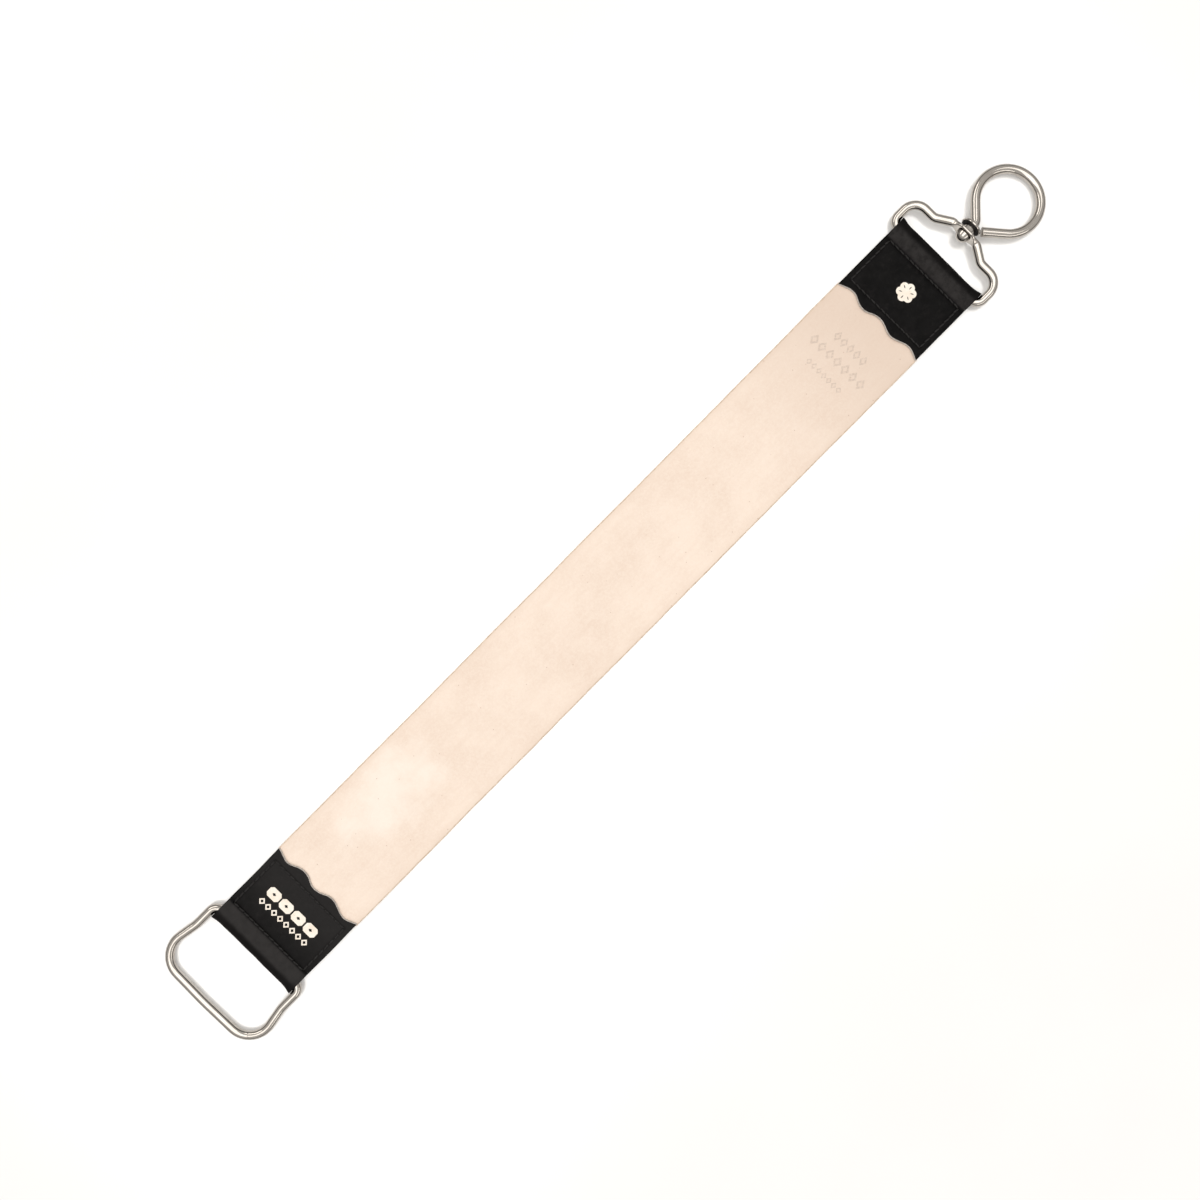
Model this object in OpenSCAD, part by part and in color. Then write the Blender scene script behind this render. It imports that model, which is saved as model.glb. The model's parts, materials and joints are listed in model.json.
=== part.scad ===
// Hanging leather strop: a single leather strap with a folded cap sewn to each end.
// One cap holds a bent wire handle, the other a wire bail with a swivelling ring hook.
// The strop lies flat on Z = 0 with its length along X: handle at -X, hook at +X.

/* [Strap] */
// Length of the leather from fold to fold
leather_len = 443; // [300:1:600]
// Width of the strap
strap_w = 50; // [48:0.5:52]
// Thickness of the strap
strap_t = 2.8; // [2.2:0.1:3.2]
// Height by which the strap's ends rise into the caps
end_rise = 2; // [1.6:0.1:2.2]
// Length over which the strap rises at each end
ramp_len = 50; // [30:1:80]

/* [Leather caps] */
// Length of the cap at the handle, from its fold to the tips of its wavy edge
handle_cap_len = 43.6; // [38:0.1:60]
// Length of the cap at the hook, from its fold to the tips of its wavy edge
hook_cap_len = 42; // [38:0.1:60]
// Width of both caps
cap_w = 49.2; // [46:0.1:49.2]
// Thickness of the cap leather
cap_t = 1.2; // [0.8:0.1:1.4]
// Depth of the waves in the cut edge
wave_depth = 2.5; // [0:0.1:4]
// Distance from one wave to the next
wave_pitch = 17.8; // [12:0.1:25]

/* [Stitching and foil] */
// Distance between stitches
stitch_pitch = 3.2; // [2.5:0.1:5]
// Radius of the thread
thread_r = 0.35; // [0.2:0.05:0.4]
// Distance from the fold to the first row of stitches
fold_to_seam = 11.1; // [9.5:0.1:12]
// Distance from the wavy edge's tips to the last row of stitches
edge_to_seam = 5.5; // [4.5:0.1:8]
// Distance from the middle of the cap to the side rows of stitches
side_seam_y = 21.8; // [20:0.1:22.5]
// Thickness of the foil ornaments
foil_t = 0.12; // [0.05:0.01:0.2]

/* [Handle loop] */
// Radius of the wire in the handle and the bail
wire_r = 2.1; // [1.8:0.05:2.1]
// Reach of the handle's far bar from its hinge line
handle_reach = 35.5; // [32:0.5:60]
// Radius of the handle's outer corners
handle_corner_r = 11.5; // [8:0.5:12]

/* [Swivel and ring hook] */
// Reach of the bail's pierced eye from its hinge line
bail_reach = 18.8; // [18:0.1:22]
// Radius of the rivet's neck, which turns in the eye
neck_r = 2.92; // [2.5:0.01:3]
// Radius of the rivet's domed head
dome_r = 3.5; // [3.3:0.1:4.3]
// Radius of the hook's collar
collar_r = 5.05; // [4.5:0.05:5.2]
// Radius of the ring hook's wire
hook_wire_r = 2.25; // [2:0.05:2.3]
// Radius of the ring, to the middle of its wire
ring_r = 15.05; // [13:0.05:16]

/* [Hidden] */
$fn = 64;

// Heights of the strap's ends and of the cap flaps above and below them
flap_bottom = end_rise - cap_t;
seat_top = end_rise + strap_t;
flap_top = seat_top + cap_t;

// The fold wraps the wire, with a little looseness towards the end of the strop
tunnel_gap = 0.3;
fold_r = wire_r + tunnel_gap + cap_t;
fold_slack = 0.7;
hinge_x = leather_len / 2 - fold_slack - fold_r;
hinge_z = fold_r;
seam_x = leather_len / 2 - fold_to_seam;
seam_row_x = seam_x - thread_r - 0.05;
tail_x = seam_x + 1.6;
tail_relief = 0.4;

// The wire's side arms pass outside the leather
arm_y = cap_w / 2 + tunnel_gap + wire_r;
hinge_bend_r = 2.6;
run_step = 0.02;
run_lap = 0.25;
ramp_steps = 16;
wave_steps = 60;

// Handle: where its arms start to spread, how far they spread, and the bow of the far bar
handle_neck = 12.5;
handle_spread = 3.9;
handle_bow = 0.7;
handle_tilt = 2.2;

// Bail: its straight run, the shoulders beside the eye, and the eye plate
bail_run = 14.3;
bail_corner_r = 7;
shoulder_outer_y = 14.6;
shoulder_inner_y = 7.2;
eye_w = 11.5;
eye_h = 8.8;
eye_t = 1.5;
eye_corner_r = 2.2;
eye_hole_r = neck_r + 0.08;
eye_z = 5.8;
bail_tilt = asin((eye_z - hinge_z) / bail_reach);
eye_x = hinge_x + bail_reach * cos(bail_tilt);

// Rivet and hook, measured along the swivel's axis from the middle of the eye plate
hook_tilt = 4.9;
dome_seat = -1;
collar_seat = 3.6;
collar_t = 1.2;
foot_r = 3.6;
foot_tip_r = hook_wire_r - 0.1;
foot_len = 1;
tenon_r = 1.6;
tenon_len = 2.4;
hook_bend_at = 7.2;
hook_bend_r = 3.2;
ring_centre = [24.9, -3.75];
hook_end = [6.1, -5.15];

// The object is centred on X between the handle's far bar and the ring's far side
handle_end_x = hinge_x + handle_reach * cos(handle_tilt) + wire_r;
hook_end_x = eye_x + ring_centre[0] * cos(hook_tilt) + ring_r * cos(hook_tilt) + hook_wire_r;
centre_shift = (handle_end_x - hook_end_x) / 2;

strap_colour = [0.95, 0.87, 0.8];
cap_colour = [0.12, 0.11, 0.11];
thread_colour = [0.06, 0.06, 0.06];
foil_colour = [0.96, 0.92, 0.85];
metal_colour = [0.72, 0.69, 0.66];

function heading(v) = atan2(v[1], v[0]);
function step_angle(a, b) = let (d = b - a) d > 180 ? d - 360 : d < -180 ? d + 360 : d;

// Height of the strap's underside at a distance from its middle
function rise_at(x, ramp_end) =
    let (t = min(1, max(0, (x - ramp_end + ramp_len) / ramp_len)))
    end_rise * (1 - cos(180 * t)) / 2;

// Underside of one half of the strap, from the middle to its tail
function half_underside(ramp_end) = [
    for (i = [0 : ramp_steps])
        let (x = ramp_end - ramp_len + ramp_len * i / ramp_steps)
        [x, rise_at(x, ramp_end)]
];

module centred() {
    translate([centre_shift, 0, 0]) children();
}

module at_handle_end() {
    centred() mirror([1, 0, 0]) children();
}

// Extrudes an outline drawn in X and Z across the width
module across(width) {
    rotate([90, 0, 0]) linear_extrude(width, center = true) children();
}

module strap() {
    hook_ramp_end = leather_len / 2 - hook_cap_len - 1;
    handle_ramp_end = leather_len / 2 - handle_cap_len - 1;
    hook_side = concat(half_underside(hook_ramp_end), [[tail_x, end_rise]]);
    handle_side = concat(half_underside(handle_ramp_end), [[tail_x, end_rise]]);
    handle_mirrored = [for (i = [len(handle_side) - 1 : -1 : 0]) [-handle_side[i][0], handle_side[i][1]]];
    underside = concat(handle_mirrored, hook_side);
    upper = [for (i = [len(underside) - 1 : -1 : 0]) underside[i] + [0, strap_t]];
    color(strap_colour) centred() difference() {
        across(strap_w) polygon(concat(underside, upper));
        for (sx = [-1, 1], sy = [-1, 1])
            translate([sx * (tail_x - 5), sy * strap_w / 2, seat_top / 2])
                cube([12, 2 * tail_relief, 2 * seat_top], center = true);
    }
}

// Section through a cap: two flaps joined by the fold round the wire
module cap_section(cap_len) {
    open_x = leather_len / 2 - cap_len - 2;
    fold_x = hinge_x + fold_slack;
    tunnel_r = wire_r + tunnel_gap;
    difference() {
        union() {
            polygon([
                [open_x, flap_bottom], [seam_x, flap_bottom], [hinge_x, 0], [fold_x, 0],
                [fold_x, 2 * fold_r], [hinge_x, 2 * fold_r], [seam_x, flap_top], [open_x, flap_top]
            ]);
            translate([fold_x, hinge_z]) circle(fold_r);
        }
        translate([hinge_x, hinge_z]) circle(tunnel_r);
        translate([fold_x, hinge_z]) circle(tunnel_r);
        translate([hinge_x, hinge_z - tunnel_r]) square([fold_slack, 2 * tunnel_r]);
        polygon([
            [open_x - 1, end_rise], [seam_x, end_rise], [hinge_x, hinge_z - tunnel_r],
            [hinge_x, hinge_z + tunnel_r], [seam_x, seat_top], [open_x - 1, seat_top]
        ]);
    }
}

// Plan of a cap, with its wavy cut edge
module cap_plan(cap_len) {
    tip_x = leather_len / 2 - cap_len;
    wave = [
        for (i = [0 : wave_steps])
            let (y = cap_w * (i / wave_steps - 0.5))
            [tip_x + wave_depth * (1 + cos(360 * y / wave_pitch)) / 2, y]
    ];
    polygon(concat(wave, [[leather_len / 2 + 1, cap_w / 2], [leather_len / 2 + 1, -cap_w / 2]]));
}

module cap(cap_len) {
    color(cap_colour) intersection() {
        across(cap_w) cap_section(cap_len);
        translate([0, 0, -1]) linear_extrude(2 * fold_r + 2) cap_plan(cap_len);
    }
}

// One stitch: a half-round length of thread that lies on the leather along X
module stitch() {
    rotate([90, 0, 90]) linear_extrude(stitch_pitch * 0.76, center = true)
        intersection() {
            circle(thread_r, $fn = 24);
            translate([-thread_r, 0]) square([2 * thread_r, thread_r]);
        }
}

// The rectangle of stitches on one face of a cap
module stitch_frame(cap_len) {
    edge_x = leather_len / 2 - cap_len + edge_to_seam;
    along = round((seam_row_x - edge_x) / stitch_pitch);
    across_count = round(2 * side_seam_y / stitch_pitch);
    for (i = [0 : along - 1], y = [-side_seam_y, side_seam_y])
        translate([edge_x + (seam_row_x - edge_x) * (i + 0.5) / along, y, 0]) stitch();
    for (i = [0 : across_count - 1], x = [edge_x, seam_row_x])
        translate([x, side_seam_y * (2 * (i + 0.5) / across_count - 1), 0])
            rotate([0, 0, 90]) stitch();
}

module cap_stitching(cap_len) {
    color(thread_colour) {
        translate([0, 0, flap_top]) stitch_frame(cap_len);
        translate([0, 0, flap_bottom]) mirror([0, 0, 1]) stitch_frame(cap_len);
    }
}

function lozenge(half_x, half_y) = [[-half_x, 0], [0, -half_y], [half_x, 0], [0, half_y]];

// Ornament on the handle's cap: a row of bold plaques beside a row of small thin lozenges
module plaque_band() {
    plaque_x = leather_len / 2 - 26.9;
    plaque_half = [2.5, 3.4];
    plaque_pitch = 7.6;
    corner_cut = 1.2;
    thin_x = leather_len / 2 - 21;
    thin_half = [1.8, 1.7];
    thin_pitch = 3.8;
    color(foil_colour) translate([0, 0, flap_top]) linear_extrude(foil_t) {
        for (i = [-1.5 : 1.5]) translate([plaque_x, plaque_pitch * i]) difference() {
            square(2 * plaque_half, center = true);
            for (sx = [-1, 1], sy = [-1, 1])
                translate([sx * plaque_half[0], sy * plaque_half[1]])
                    polygon(lozenge(corner_cut, corner_cut));
            polygon(lozenge(plaque_half[0], plaque_half[1]) * 0.3);
        }
        for (i = [-3.5 : 3.5]) translate([thin_x, thin_pitch * i]) difference() {
            polygon(lozenge(thin_half[0], thin_half[1]));
            polygon(lozenge(thin_half[0], thin_half[1]) * 0.5);
        }
    }
}

// Ornament on the hook's cap: a flower of six round petals with a slit in each
module rosette() {
    petal_r = 2;
    petal_at = 2.7;
    slit_r = 2;
    slit_half_w = 0.22;
    color(foil_colour) translate([leather_len / 2 - 23.2, 0, flap_top]) linear_extrude(foil_t)
        difference() {
            union() {
                circle(petal_at);
                for (a = [0 : 60 : 300]) rotate(a) translate([petal_at, 0]) circle(petal_r);
            }
            for (a = [0 : 60 : 300]) rotate(a) translate([petal_at, 0])
                intersection() {
                    translate([0, slit_r - slit_half_w]) circle(slit_r);
                    translate([0, slit_half_w - slit_r]) circle(slit_r);
                }
        }
}

// A straight length of wire from a to b, a hair thinner than the bends and lapping into them
module wire_run(a, b, r) {
    along = (b - a) / norm(b - a);
    from = a - along * run_lap;
    translate([from[0], from[1], 0]) rotate([0, 0, heading(along)]) rotate([0, 90, 0])
        cylinder(norm(b - a) + 2 * run_lap, r - run_step, r - run_step);
}

// An arc of wire about a middle point, anticlockwise from an angle
module wire_arc(middle, bend_r, from_angle, sweep, r) {
    translate([middle[0], middle[1], 0]) rotate([0, 0, from_angle])
        rotate_extrude(angle = sweep) translate([bend_r, 0]) circle(r);
}

// A wire bent in its own plane: straight runs between the points, with a bend radius at each
module bent_wire(points, bends, r, closed = false) {
    count = len(points);
    runs = closed ? count : count - 1;
    dirs = [
        for (i = [0 : runs - 1])
            let (run = points[(i + 1) % count] - points[i])
            run / norm(run)
    ];
    turns = [
        for (i = [0 : count - 1])
            bends[i] == 0 ? 0 : step_angle(heading(dirs[(i + runs - 1) % runs]), heading(dirs[i]))
    ];
    cuts = [for (i = [0 : count - 1]) bends[i] * tan(abs(turns[i]) / 2)];
    for (i = [0 : runs - 1]) {
        next = (i + 1) % count;
        wire_run(points[i] + dirs[i] * cuts[i], points[next] - dirs[i] * cuts[next], r);
    }
    for (i = [0 : count - 1]) if (bends[i] > 0) {
        dir = dirs[(i + runs - 1) % runs];
        side = sign(turns[i]);
        middle = points[i] - dir * cuts[i] + [-dir[1], dir[0]] * side * bends[i];
        wire_arc(middle, bends[i], heading(dir) - 90 * side + min(0, turns[i]), abs(turns[i]), r);
    }
}

module handle_loop() {
    corner = [handle_reach - handle_bow, arm_y + handle_spread];
    points = [
        [0, arm_y], [handle_neck, arm_y], corner, [handle_reach, 0],
        [corner[0], -corner[1]], [handle_neck, -arm_y], [0, -arm_y]
    ];
    bends = [hinge_bend_r, 20, handle_corner_r, 150, handle_corner_r, 20, hinge_bend_r];
    color(metal_colour) at_handle_end() translate([hinge_x, 0, hinge_z]) rotate([0, handle_tilt, 0])
        bent_wire(points, bends, wire_r, closed = true);
}

// Frame of the swivel: the origin is the middle of the eye plate and +X runs out along the hook
module at_swivel() {
    centred() translate([eye_x, 0, eye_z]) rotate([0, hook_tilt, 0]) children();
}

module along_swivel(from) {
    translate([from, 0, 0]) rotate([0, 90, 0]) children();
}

module eye_plate_plan() {
    square([eye_h, eye_w - 2 * eye_corner_r], center = true);
    square([eye_h - 2 * eye_corner_r, eye_w], center = true);
    for (sx = [-1, 1], sy = [-1, 1])
        translate([sx * (eye_h / 2 - eye_corner_r), sy * (eye_w / 2 - eye_corner_r)]) circle(eye_corner_r);
}

module bail_wire() {
    points = [
        [bail_reach, eye_w / 2 - 0.8], [bail_reach, shoulder_inner_y], [bail_run, shoulder_outer_y],
        [bail_run, arm_y], [0, arm_y], [0, -arm_y], [bail_run, -arm_y],
        [bail_run, -shoulder_outer_y], [bail_reach, -shoulder_inner_y], [bail_reach, 0.8 - eye_w / 2]
    ];
    bends = [0, 4, 5, bail_corner_r, hinge_bend_r, hinge_bend_r, bail_corner_r, 5, 4, 0];
    centred() translate([hinge_x, 0, hinge_z]) rotate([0, -bail_tilt, 0]) bent_wire(points, bends, wire_r);
}

module swivel_bail() {
    color(metal_colour) {
        bail_wire();
        at_swivel() along_swivel(-eye_t / 2) linear_extrude(eye_t) difference() {
            eye_plate_plan();
            circle(eye_hole_r);
        }
    }
}

module swivel_rivet() {
    color(metal_colour) at_swivel() {
        intersection() {
            translate([dome_seat, 0, 0]) sphere(dome_r);
            translate([dome_seat - 2 * dome_r, -dome_r, -dome_r]) cube(2 * dome_r);
        }
        along_swivel(dome_seat) cylinder(collar_seat - dome_seat, neck_r, neck_r);
        along_swivel(collar_seat) cylinder(tenon_len, tenon_r, tenon_r);
    }
}

module ring_hook() {
    bend_point = [hook_bend_at, 0];
    to_upper = ring_centre - bend_point;
    upper_dir = heading(to_upper) + asin(ring_r / norm(to_upper));
    upper_cut = hook_bend_r * tan(upper_dir / 2);
    upper_tangent = ring_centre + ring_r * [-sin(upper_dir), cos(upper_dir)];
    to_lower = ring_centre - hook_end;
    lower_dir = heading(to_lower) - asin(ring_r / norm(to_lower));
    lower_tangent = ring_centre + ring_r * [sin(lower_dir), -cos(lower_dir)];
    color(metal_colour) at_swivel() difference() {
        union() {
            along_swivel(collar_seat) cylinder(collar_t, collar_r, collar_r);
            along_swivel(collar_seat + collar_t) cylinder(foot_len, foot_r, foot_tip_r);
            wire_run([collar_seat + collar_t / 2, 0], [hook_bend_at - upper_cut, 0], hook_wire_r);
            wire_arc([hook_bend_at - upper_cut, hook_bend_r], hook_bend_r, -90, upper_dir, hook_wire_r);
            wire_run(bend_point + upper_cut * [cos(upper_dir), sin(upper_dir)], upper_tangent, hook_wire_r);
            wire_arc(ring_centre, ring_r, lower_dir - 90, upper_dir - lower_dir + 180, hook_wire_r);
            wire_run(lower_tangent, hook_end, hook_wire_r);
        }
        along_swivel(collar_seat - 1) cylinder(tenon_len + 1.1, tenon_r, tenon_r);
    }
}

strap();
at_handle_end() cap(handle_cap_len);  // handle_cap
centred() cap(hook_cap_len);  // hook_cap
at_handle_end() cap_stitching(handle_cap_len);  // handle_cap_stitching
centred() cap_stitching(hook_cap_len);  // hook_cap_stitching
at_handle_end() plaque_band();  // handle_cap_foil
centred() rosette();  // hook_cap_foil
handle_loop();
swivel_bail();
swivel_rivet();
ring_hook();
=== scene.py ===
"""Hanging leather strop: the finished looks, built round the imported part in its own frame.

Shapes are worked out in millimetres and become metres when a mesh is made.
"""

import json
import math

import bmesh
import bpy
import numpy as np
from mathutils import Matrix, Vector


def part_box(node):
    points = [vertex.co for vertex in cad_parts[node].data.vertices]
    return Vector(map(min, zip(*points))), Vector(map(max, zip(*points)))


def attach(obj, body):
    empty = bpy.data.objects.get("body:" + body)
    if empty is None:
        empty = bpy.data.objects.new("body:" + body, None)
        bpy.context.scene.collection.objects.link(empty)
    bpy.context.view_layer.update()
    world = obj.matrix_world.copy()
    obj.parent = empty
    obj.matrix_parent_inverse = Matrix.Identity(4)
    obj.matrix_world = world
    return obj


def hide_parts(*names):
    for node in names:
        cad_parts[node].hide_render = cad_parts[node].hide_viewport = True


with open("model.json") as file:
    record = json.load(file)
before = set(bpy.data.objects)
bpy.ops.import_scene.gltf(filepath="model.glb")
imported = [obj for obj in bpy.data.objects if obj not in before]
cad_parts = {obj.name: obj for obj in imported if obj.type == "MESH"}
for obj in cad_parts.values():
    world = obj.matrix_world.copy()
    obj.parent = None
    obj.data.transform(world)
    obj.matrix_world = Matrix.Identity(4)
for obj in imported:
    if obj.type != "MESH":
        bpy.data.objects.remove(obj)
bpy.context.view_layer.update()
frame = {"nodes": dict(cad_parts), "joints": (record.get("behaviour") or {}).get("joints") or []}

MM = 0.001

# Strap: its size, and how its ends rise into the caps
STRAP_W = 50.0
STRAP_T = 2.8
END_RISE = 2.0
RAMP_LEN = 50.0

# Caps: their leather, wavy edges, the heights of their flaps, and the fold round the wire
HANDLE_CAP_LEN = 43.6
HOOK_CAP_LEN = 42.0
CAP_W = 49.2
CAP_T = 1.2
WAVE_DEPTH = 2.5
WAVE_PITCH = 17.8
FLAP_TOP = 6.0
FLAP_BOTTOM = 0.8
FOLD_R = 3.6
FOLD_SLACK = 0.7
HINGE_D = FOLD_R + FOLD_SLACK

# Stitching: where the flaps are drawn together, the rows of stitches, and the thread
FOLD_TO_SEAM = 11.1
SEAM_ROW_D = 11.5
EDGE_TO_SEAM = 5.5
SIDE_SEAM_Y = 21.8
STITCH_PITCH = 3.2
THREAD_R = 0.35

# Wires. The hinge bend is the roundest that clears the caps over the whole travel
WIRE_R = 2.1
HOOK_WIRE_R = 2.25
ARM_Y = 27.0
HINGE_BEND = 3.7
WIRE_SIDES = 40

# Swivel, along its axis from the middle of the eye plate
DOME_SEAT = -1.0
COLLAR_SEAT = 3.6
NECK_R = 2.92
EYE_HOLE_R = 3.0

joints = {j["name"]: j for j in frame["joints"]}


def pos_mm(joint):
    """A joint's place, in millimetres."""
    return Vector(joints[joint]["pos_m"]) / MM


def box_mm(node):
    """A node's lowest and highest corners, in millimetres."""
    lo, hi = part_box(node)
    return lo / MM, hi / MM


HANDLE_EDGE = box_mm("handle_cap")[0].x
HOOK_EDGE = box_mm("hook_cap")[1].x
LEATHER_MID = (HANDLE_EDGE + HOOK_EDGE) / 2
LEATHER_HALF = (HOOK_EDGE - HANDLE_EDGE) / 2


# ---------------------------------------------------------------- small tools


def smooth(t):
    """0 to 1 with soft ends, as t goes from 0 to 1."""
    t = np.clip(t, 0.0, 1.0)
    return t * t * (3 - 2 * t)


def waves(x, y, size, seed):
    """Smooth unevenness of about -1 to 1 whose features are about that size."""
    rng = np.random.default_rng(seed)
    count = 10
    angles = rng.uniform(0, math.tau, count)
    lengths = size * rng.uniform(0.7, 1.8, count)
    phases = rng.uniform(0, math.tau, count)
    total = 0.0
    for angle, length, phase in zip(angles, lengths, phases):
        along = x * math.cos(angle) + y * math.sin(angle)
        total = total + np.sin(math.tau * along / length + phase)
    return total / math.sqrt(count) * 0.8


def face_outward(mesh):
    """Turns every face of a closed mesh to the outside."""
    bm = bmesh.new()
    bm.from_mesh(mesh)
    bmesh.ops.recalc_face_normals(bm, faces=bm.faces)
    bm.to_mesh(mesh)
    bm.free()


def make(name, verts, faces, materials, body, stands_for, face_materials=None, uv=None):
    """A closed mesh from points in millimetres, riding on a body in place of CAD nodes."""
    mesh = bpy.data.meshes.new(name)
    mesh.from_pydata([tuple(v) for v in np.asarray(verts) * MM], [], faces)
    for material in materials:
        mesh.materials.append(material)
    if face_materials is not None:
        mesh.polygons.foreach_set("material_index", face_materials)
    if uv is not None:
        layer = mesh.uv_layers.new(name="UVMap")
        loops = np.empty(len(mesh.loops), np.int32)
        mesh.loops.foreach_get("vertex_index", loops)
        layer.data.foreach_set("uv", np.asarray(uv)[loops].astype(np.float32).ravel())
    face_outward(mesh)
    mesh.shade_smooth()
    mesh.set_sharp_from_angle(angle=math.radians(50))
    obj = bpy.data.objects.new(name, mesh)
    bpy.context.scene.collection.objects.link(obj)
    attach(obj, body)
    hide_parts(*stands_for)
    return obj


def tube_faces(rings, sides, closed, first=0):
    """Faces between rings of points, with flat ends unless the tube is closed on itself."""
    faces = []
    for i in range(rings if closed else rings - 1):
        a, b = first + i * sides, first + (i + 1) % rings * sides
        for k in range(sides):
            m = (k + 1) % sides
            faces.append((a + k, a + m, b + m, b + k))
    if not closed:
        faces.append(tuple(first + k for k in reversed(range(sides))))
        faces.append(tuple(first + (rings - 1) * sides + k for k in range(sides)))
    return faces


# ---------------------------------------------------------------- materials


class Graph:
    """A material with a Principled shader and short calls for the nodes that feed it."""

    def __init__(self, name, **values):
        self.material = bpy.data.materials.new(name)
        self.material.use_nodes = True
        self.tree = self.material.node_tree
        self.bsdf = self.tree.nodes["Principled BSDF"]
        self.place = self.add("ShaderNodeTexCoord").outputs["Object"]
        for key, value in values.items():
            self.bsdf.inputs[key.replace("_", " ")].default_value = value

    def add(self, kind, inputs=None, **settings):
        """A node with those settings, fed with those values or sockets."""
        node = self.tree.nodes.new(kind)
        for key, value in settings.items():
            setattr(node, key, value)
        for key, value in (inputs or {}).items():
            self.feed(node.inputs[key], value)
        return node

    def feed(self, socket, value):
        if isinstance(value, bpy.types.NodeSocket):
            self.tree.links.new(value, socket)
        else:
            socket.default_value = value

    def drive(self, name, value):
        """Feeds an input of the Principled shader."""
        self.feed(self.bsdf.inputs[name], value)

    def stretched(self, x, y, z, source=None):
        """Coordinates scaled per axis."""
        node = self.add("ShaderNodeMapping", {"Vector": source or self.place, "Scale": (x, y, z)})
        return node.outputs[0]

    def noise(self, size_mm, detail=2.0, roughness=0.5, where=None, distortion=0.0):
        """Noise whose features are about that size."""
        inputs = {
            "Vector": where or self.place,
            "Scale": 1 / (size_mm * MM),
            "Detail": detail,
            "Roughness": roughness,
            "Distortion": distortion,
        }
        return self.add("ShaderNodeTexNoise", inputs).outputs["Fac"]

    def cells(self, size_mm, feature="F1"):
        """Voronoi cells of about that size."""
        inputs = {"Vector": self.place, "Scale": 1 / (size_mm * MM)}
        return self.add("ShaderNodeTexVoronoi", inputs, feature=feature)

    def math(self, operation, a, b=0.0):
        node = self.add("ShaderNodeMath", operation=operation)
        for socket, value in zip(node.inputs, (a, b)):
            self.feed(socket, value)
        return node.outputs[0]

    def fade(self, value, start, end, low=0.0, high=1.0):
        """Smooth step from low to high as value goes from start to end."""
        inputs = {"Value": value, "From Min": start, "From Max": end, "To Min": low, "To Max": high}
        return self.add("ShaderNodeMapRange", inputs, interpolation_type="SMOOTHSTEP").outputs[0]

    def mix(self, share, a, b):
        """Colour a where share is 0, and colour b where it is 1."""
        node = self.add("ShaderNodeMix", data_type="RGBA", blend_type="MIX")
        self.feed(node.inputs[0], share)
        for socket, value in ((node.inputs[6], a), (node.inputs[7], b)):
            self.feed(socket, (*value, 1.0) if isinstance(value, tuple) else value)
        return node.outputs[2]

    def bump(self, height, depth_mm, under=None):
        """A normal for relief of that depth, on top of another relief."""
        inputs = {"Height": height, "Distance": depth_mm * MM, "Strength": 1.0}
        if under is not None:
            inputs["Normal"] = under
        return self.add("ShaderNodeBump", inputs).outputs[0]

    def axis(self, index):
        """The part's own X, Y or Z, in metres."""
        split = self.add("ShaderNodeSeparateXYZ", {"Vector": self.place})
        return split.outputs[index]


def lozenge_column(g, middle_x, half_x, pitch_y, count):
    """1 on the outlines of a column of lozenges across the strap, 0 elsewhere. Sizes in mm."""
    x, y = g.axis(0), g.axis(1)
    half_y = 0.43 * pitch_y
    reach = pitch_y * count / 2
    dx = g.math("ABSOLUTE", g.math("SUBTRACT", x, middle_x * MM))
    # The middle of the column is the middle of a lozenge, because the count is odd
    step = g.math("PINGPONG", g.math("ADD", y, 100 * pitch_y * MM), pitch_y / 2 * MM)
    total = g.math("ADD", g.math("DIVIDE", dx, half_x * MM), g.math("DIVIDE", step, half_y * MM))
    outline = g.math("MULTIPLY", g.fade(total, 1.12, 0.95), g.fade(total, 0.42, 0.6, 0.15, 1.0))
    inside = g.fade(g.math("ABSOLUTE", y), (reach + 0.1) * MM, reach * MM)
    return g.math("MULTIPLY", outline, inside)


def strap_colour(g):
    """Undyed cowhide: pinkish cream, clouded and freckled, with painted shade towards the hook and along the
    sides, and a painted highlight near the handle.
    """
    x, y = g.axis(0), g.axis(1)
    cloud = g.noise(26, 4, 0.62)
    fine = g.noise(1.1, 3, 0.7)
    lanes = g.noise(2.2, 2, 0.5, g.stretched(0.12, 1, 1))
    tone = g.mix(g.fade(cloud, 0.3, 0.7), (0.80, 0.65, 0.54), (0.87, 0.73, 0.62))
    tone = g.mix(g.fade(fine, 0.28, 0.75, 0.0, 0.5), tone, (0.915, 0.80, 0.70))
    tone = g.mix(g.fade(lanes, 0.35, 0.8, 0.0, 0.16), tone, (0.75, 0.59, 0.48))
    # A painted highlight: a paler patch near the handle where the overhead light glares off the grain
    across = g.math("DIVIDE", g.math("SUBTRACT", y, 6 * MM), 21 * MM)
    along = g.math("DIVIDE", g.math("ADD", x, 139 * MM), 34 * MM)
    spread = g.math("ADD", g.math("MULTIPLY", across, across), g.math("MULTIPLY", along, along))
    spread = g.math("ADD", spread, g.math("MULTIPLY", g.noise(14, 3, 0.6), 1.6))
    tone = g.mix(g.fade(spread, 1.75, 0.7, 0.0, 0.6), tone, (0.95, 0.875, 0.79))
    # Painted shade: darker towards the hook and along the sides
    ends = g.math("ADD", x, g.math("MULTIPLY", cloud, 30 * MM))
    tone = g.mix(g.fade(ends, 98 * MM, 190 * MM, 0.0, 0.64), tone, (0.66, 0.525, 0.43))
    sides = g.math("ADD", g.math("ABSOLUTE", y), g.math("MULTIPLY", fine, 2.5 * MM))
    tone = g.mix(g.fade(sides, 22.5 * MM, 26.4 * MM, 0.0, 0.16), tone, (0.62, 0.46, 0.35))
    return tone


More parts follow.
